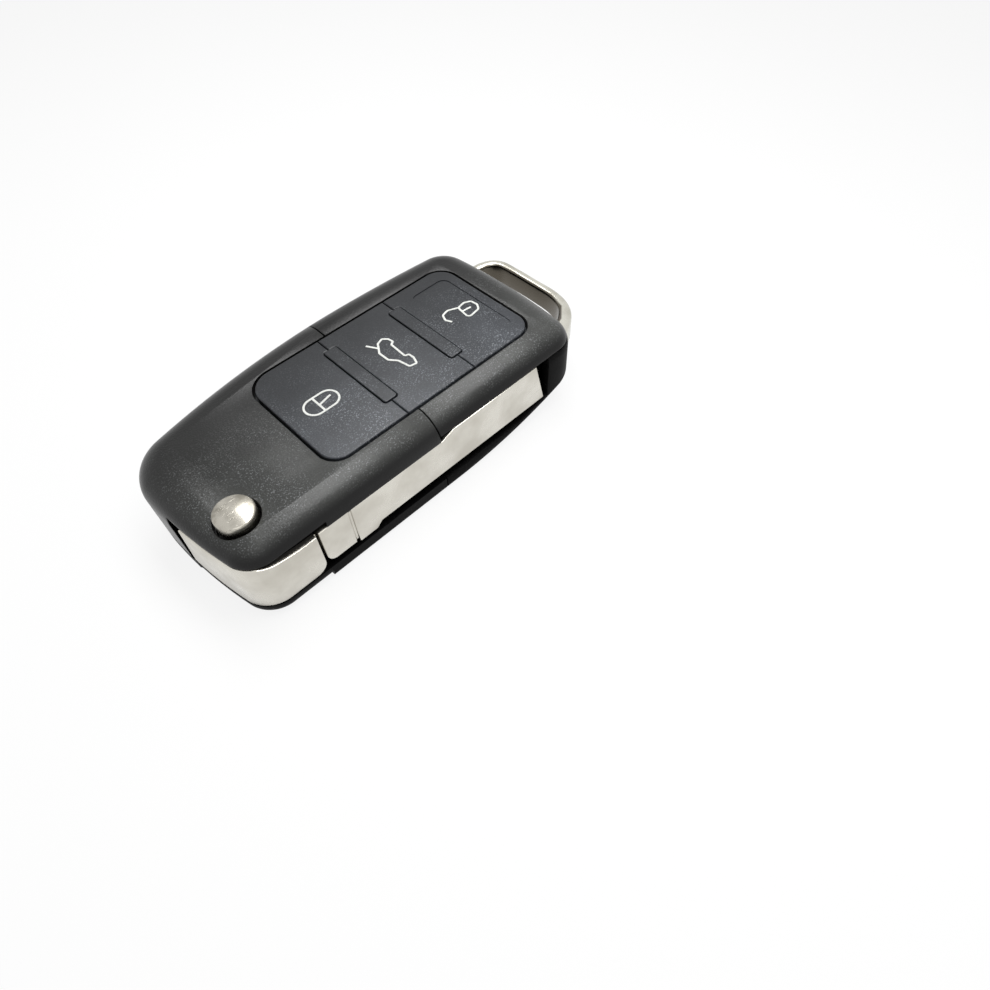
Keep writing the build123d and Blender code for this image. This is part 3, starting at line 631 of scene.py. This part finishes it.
def finish_piece(piece, material, node):
    """Gives a piece its material, body and slot, in place of the CAD part it stands for."""
    piece.data.materials.clear()
    piece.data.materials.append(material)
    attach(piece, bodies_of[node])
    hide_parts(node)
    print(piece.name, "has", len(piece.data.polygons), "faces and rides with", bodies_of[node])


def merged_copy(node, name):
    """A copy of a CAD part with its doubled points merged and its flat faces joined."""
    piece = bpy.data.objects.new(name, nodes[node].data.copy())
    bpy.context.collection.objects.link(piece)
    pick(piece)
    bpy.ops.mesh.customdata_custom_splitnormals_clear()
    bpy.ops.object.mode_set(mode="EDIT")
    bpy.ops.mesh.select_all(action="SELECT")
    bpy.ops.mesh.remove_doubles(threshold=SAME_POINT)
    bpy.ops.mesh.dissolve_limited(angle_limit=FLAT_ANGLE)
    bpy.ops.object.mode_set(mode="OBJECT")
    return piece


def rounded_copy(node, width):
    """A copy of a CAD part whose sharp edges are rounded to a width in metres."""
    piece = merged_copy(node, f"{node}_rounded")
    bevel = piece.modifiers.new("edge_round", "BEVEL")
    bevel.width = width
    bevel.segments = EDGE_STEPS
    bevel.limit_method = "ANGLE"
    bevel.angle_limit = EDGE_ANGLE
    bevel.use_clamp_overlap = False
    bpy.ops.object.modifier_apply(modifier=bevel.name)
    bpy.ops.object.shade_smooth_by_angle(angle=SMOOTH_ANGLE)
    return piece


# each part whose edges are rounded, the width of the round in millimetres, its finish and slot
ROUNDED = (
    ("head_top_shell", 0.12, shell_plastic, "shell_plastic"),
    ("button_shell", 0.12, shell_plastic, "shell_plastic"),
    ("lid", 0.10, shaded_lower_plastic, "shell_plastic"),
    ("hub_skin", 0.14, bright_metal, "bright_metal"),
    ("dummy_blade", 0.07, bright_metal, "bright_metal"),
)
for node, width, material, slot in ROUNDED:
    finish_piece(rounded_copy(node, width * MM), material, node)

# %% [markdown]
# The spring stands on the hub and carries the push button. A rigid spring would run into the
# button when it is pressed; this copy is merged and smoothed, but not squashed.

# %% Spring under the button
spring = merged_copy("flip_spring", "flip_spring_coil")
bpy.ops.object.shade_smooth_by_angle(angle=SMOOTH_ANGLE)
finish_piece(spring, spring_steel, "flip_spring")
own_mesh(spring)

# %% [markdown]
# The push button is a low dome on a short skirt. It starts as a cylinder. Its top is inset and
# raised ring by ring along a shallow sphere, its rim gets a bevel, and its stem is an extrusion of
# the underside down to the spring.

# %% Domed push button
button_low, button_high = (Vector(corner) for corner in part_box("flip_button"))
button_middle = (button_low + button_high) / 2
button_radius = (button_high.x - button_low.x) / 2
BUTTON_SIDES = 72
BUTTON_CROWN = 0.55 * MM
BUTTON_SKIRT = 2.35 * MM
BUTTON_RIM = 0.22 * MM
RIM_STEPS = 4
RIM_ANGLE = radians(45)
DOME_SMOOTH_ANGLE = radians(40)
STEM_RADIUS = 2.5 * MM
CROWN_RINGS = 9
CROWN_MIDDLE = 0.6  # the width of the cone in the middle, as a share of a ring
LEVEL_NORMAL = 0.01
LEVEL_HEIGHT = 0.01 * MM


def select_flat(piece, z):
    """Selects the level faces at a height, in edit mode."""
    mesh = bmesh.from_edit_mesh(piece.data)
    for face in mesh.faces:
        level = abs(abs(face.normal.z) - 1) < LEVEL_NORMAL
        face.select_set(level and abs(face.calc_center_median().z - z) < LEVEL_HEIGHT)
    mesh.select_flush_mode()
    bmesh.update_edit_mesh(piece.data)


def domed_button():
    """A cylinder with a crown of rings on top and a narrower stem below."""
    skirt_low = button_high.z - BUTTON_CROWN - BUTTON_SKIRT
    skirt_top = button_high.z - BUTTON_CROWN
    bpy.ops.object.select_all(action="DESELECT")
    bpy.ops.mesh.primitive_cylinder_add(
        vertices=BUTTON_SIDES, radius=button_radius, depth=BUTTON_SKIRT,
        location=(button_middle.x, button_middle.y, (skirt_low + skirt_top) / 2),
    )
    piece = bpy.context.object
    piece.name = "push_button_dome"
    bpy.ops.object.transform_apply(location=True, rotation=True, scale=True)
    sphere = (button_radius**2 + BUTTON_CROWN**2) / (2 * BUTTON_CROWN)
    bpy.ops.object.mode_set(mode="EDIT")
    bpy.ops.mesh.select_mode(type="FACE")
    select_flat(piece, skirt_top)
    radius, height = button_radius, 0.0
    for ring in range(1, CROWN_RINGS + 1):
        smaller = button_radius * (1 - ring / (CROWN_RINGS + CROWN_MIDDLE))
        higher = sqrt(sphere**2 - smaller**2) - sphere + BUTTON_CROWN
        bpy.ops.mesh.inset(thickness=radius - smaller, depth=0)
        bpy.ops.transform.translate(value=(0, 0, higher - height))
        radius, height = smaller, higher
    bpy.ops.mesh.poke()
    select_flat(piece, skirt_low)
    bpy.ops.mesh.inset(thickness=button_radius - STEM_RADIUS, depth=0)
    down = (0, 0, button_low.z - skirt_low)
    bpy.ops.mesh.extrude_region_move(TRANSFORM_OT_translate={"value": down})
    bpy.ops.object.mode_set(mode="OBJECT")
    bevel = piece.modifiers.new("rim", "BEVEL")
    bevel.width = BUTTON_RIM
    bevel.segments = RIM_STEPS
    bevel.limit_method = "ANGLE"
    bevel.angle_limit = RIM_ANGLE
    bpy.ops.object.modifier_apply(modifier=bevel.name)
    bpy.ops.object.shade_smooth_by_angle(angle=DOME_SMOOTH_ANGLE)
    return piece


finish_piece(domed_button(), button_metal, "flip_button")

# %% [markdown]
# The keyring loop is a cast hoop whose section changes all the way round: low where it leaves the
# lid on the far side, tall and thick on the near side. Ten rounded rectangles stand across its path
# like ribs. They are bridged into a skin with smooth steps between them, and both ends are closed
# inside the lid. The inner side faces the black fob and mirrors it, so a mask that is made from the
# same path paints that dark reflection on as a darker tone.

# %% Keyring loop
LOOP_REACH = 7.8 * MM
LOOP_WIRE = 1.9 * MM
LOOP_TALL = 4.5 * MM
LOOP_MIDDLE = 9.0 * MM
LOOP_STEPS = 5
HALF_WIDTH = 18.5 * MM
REACH_IN_BOX = 0.995
RIB_ROUND = 0.36
RIB_STEPS = 4
SKIN_SMOOTHNESS = 0.9
LOOP_SMOOTH_ANGLE = radians(50)
# The inner side's darker colour is a painted reflection of the black fob that it faces.
INSIDE_PAINTED_REFLECTION = paint(92, 87, 78)
REFLECTION_MASK_EDGES = (-0.25 * MM, -0.65 * MM)
# each rib's place, as shares of the reach and of half the width, its thickness and its height
LOOP_RIBS = (
    (-0.26, 0.65, 1.14, 0.66), (0.18, 0.66, 1.08, 0.75), (0.6, 0.615, 0.98, 0.88),
    (0.832, 0.5, 0.98, 0.97), (0.87, 0.303, 0.98, 0.99), (0.87, 0.0, 0.98, 0.99),
    (0.835, -0.292, 1.03, 1.06), (0.64, -0.508, 1.19, 1.15), (0.256, -0.649, 1.42, 1.21),
    (-0.23, -0.724, 1.58, 1.21),
)
rear_x = Vector(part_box("keyring_loop")[1]).x - REACH_IN_BOX * LOOP_REACH
loop_places = [
    Vector((rear_x + along * LOOP_REACH, across * HALF_WIDTH, LOOP_MIDDLE))
    for along, across, wide, tall in LOOP_RIBS
]


def inner_reflection_mask(made, links, place):
    """A mask for the painted dark reflection on the hoop's inner side: 1 well within the path of
    its ribs, 0 on and outside it.
    """
    outside = None
    for first, second in zip(loop_places, loop_places[1:]):
        along = (second - first).normalized()
        outwards = Vector((-along.y, along.x, 0.0))
        across = made.new("ShaderNodeVectorMath")
        across.operation = "DOT_PRODUCT"
        across.inputs[1].default_value = outwards
        links.new(place, across.inputs[0])
        beyond = sums(made, links, "SUBTRACT", across.outputs["Value"], outwards.dot(first))
        outside = beyond if outside is None else sums(made, links, "MAXIMUM", outside, beyond)
    return ramp(made, links, outside, *REFLECTION_MASK_EDGES)


loop_metal = metal(
    "loop_metal", paint(212, 210, 200), paint(176, 173, 162),
    clouds=160.0, scratches=0.4, rough=(0.20, 0.30), depth=0.015 * MM,
    # The inner side gets a painted dark reflection of the fob.
    shaded=(INSIDE_PAINTED_REFLECTION, inner_reflection_mask),
)


def rib(place, heading, wide, tall):
    """A rounded rectangle that stands across the loop's path, as a ring of edges."""
    bpy.ops.object.select_all(action="DESELECT")
    bpy.ops.mesh.primitive_plane_add(size=1, location=place, rotation=(pi / 2, 0, heading))
    ring = bpy.context.object
    ring.scale = (wide, tall, 1)
    bpy.ops.object.transform_apply(location=True, rotation=True, scale=True)
    bpy.ops.object.mode_set(mode="EDIT")
    bpy.ops.mesh.select_all(action="SELECT")
    bpy.ops.mesh.bevel(offset=RIB_ROUND * wide, segments=RIB_STEPS, affect="VERTICES")
    bpy.ops.mesh.select_all(action="SELECT")
    bpy.ops.mesh.delete(type="ONLY_FACE")
    bpy.ops.object.mode_set(mode="OBJECT")
    return ring


def keyring_loop():
    """A skin over ribs that each stand square to the line between their two neighbours."""
    inwards = Vector((-LOOP_REACH, 0, 0))
    path = [loop_places[0] + inwards, *loop_places, loop_places[-1] + inwards]
    rings = []
    for index, (_, _, wide, tall) in enumerate(LOOP_RIBS):
        along = path[index + 2] - path[index]
        heading = atan2(along.y, along.x) + pi / 2
        rings.append(rib(loop_places[index], heading, wide * LOOP_WIRE, tall * LOOP_TALL))
    points = len(rings[0].data.vertices)
    bpy.ops.object.select_all(action="DESELECT")
    for ring in rings:
        ring.select_set(True)
    bpy.context.view_layer.objects.active = rings[0]
    bpy.ops.object.join()
    piece = bpy.context.object
    piece.name = "keyring_hoop"
    bpy.ops.object.mode_set(mode="EDIT")
    bpy.ops.mesh.select_mode(type="EDGE")
    bpy.ops.mesh.select_all(action="SELECT")
    bpy.ops.mesh.bridge_edge_loops(
        number_cuts=LOOP_STEPS, interpolation="PATH", smoothness=SKIN_SMOOTHNESS
    )
    bpy.ops.mesh.select_all(action="DESELECT")
    bpy.ops.mesh.select_non_manifold(extend=False)
    bpy.ops.mesh.edge_face_add()
    bpy.ops.mesh.select_all(action="SELECT")
    bpy.ops.mesh.normals_make_consistent(inside=False)
    bpy.ops.object.mode_set(mode="OBJECT")
    bpy.ops.object.shade_smooth_by_angle(angle=LOOP_SMOOTH_ANGLE)
    print("ribs of", points, "points, box", [round(v / MM, 2) for v in piece.dimensions])
    return piece


finish_piece(keyring_loop(), loop_metal, "keyring_loop")

# %% [markdown]
# The other CAD parts keep their shapes, because their rounds are already in the solids or they are
# hidden when the fob is closed. They get their finishes in their own material slots.

# %% Finishes for the parts that stay
def give(node, material):
    """Puts a material in a CAD part's slot."""
    piece = nodes[node]
    if len(piece.material_slots) == 0:
        piece.data.materials.append(material)
    for held in piece.material_slots:
        held.material = material


KEPT = {
    "head_bottom_shell": shaded_lower_plastic, "hub": hub_metal, "roll_pin": spring_steel,
    "compartment_tray": inner_plastic, "button_membrane": web_rubber, "button_frame": frame_plastic,
    "lock_button": key_plastic, "trunk_button": key_plastic, "unlock_button": key_plastic,
    "lock_icon": icon_print, "trunk_icon": icon_print, "unlock_icon": icon_print,
}
for node, material in KEPT.items():
    give(node, material)
print("finished as they are:", ", ".join(KEPT))

# %% [markdown]
# The last cell sets the plain view transform.

# %% View transform
bpy.context.scene.view_settings.view_transform = "Standard"
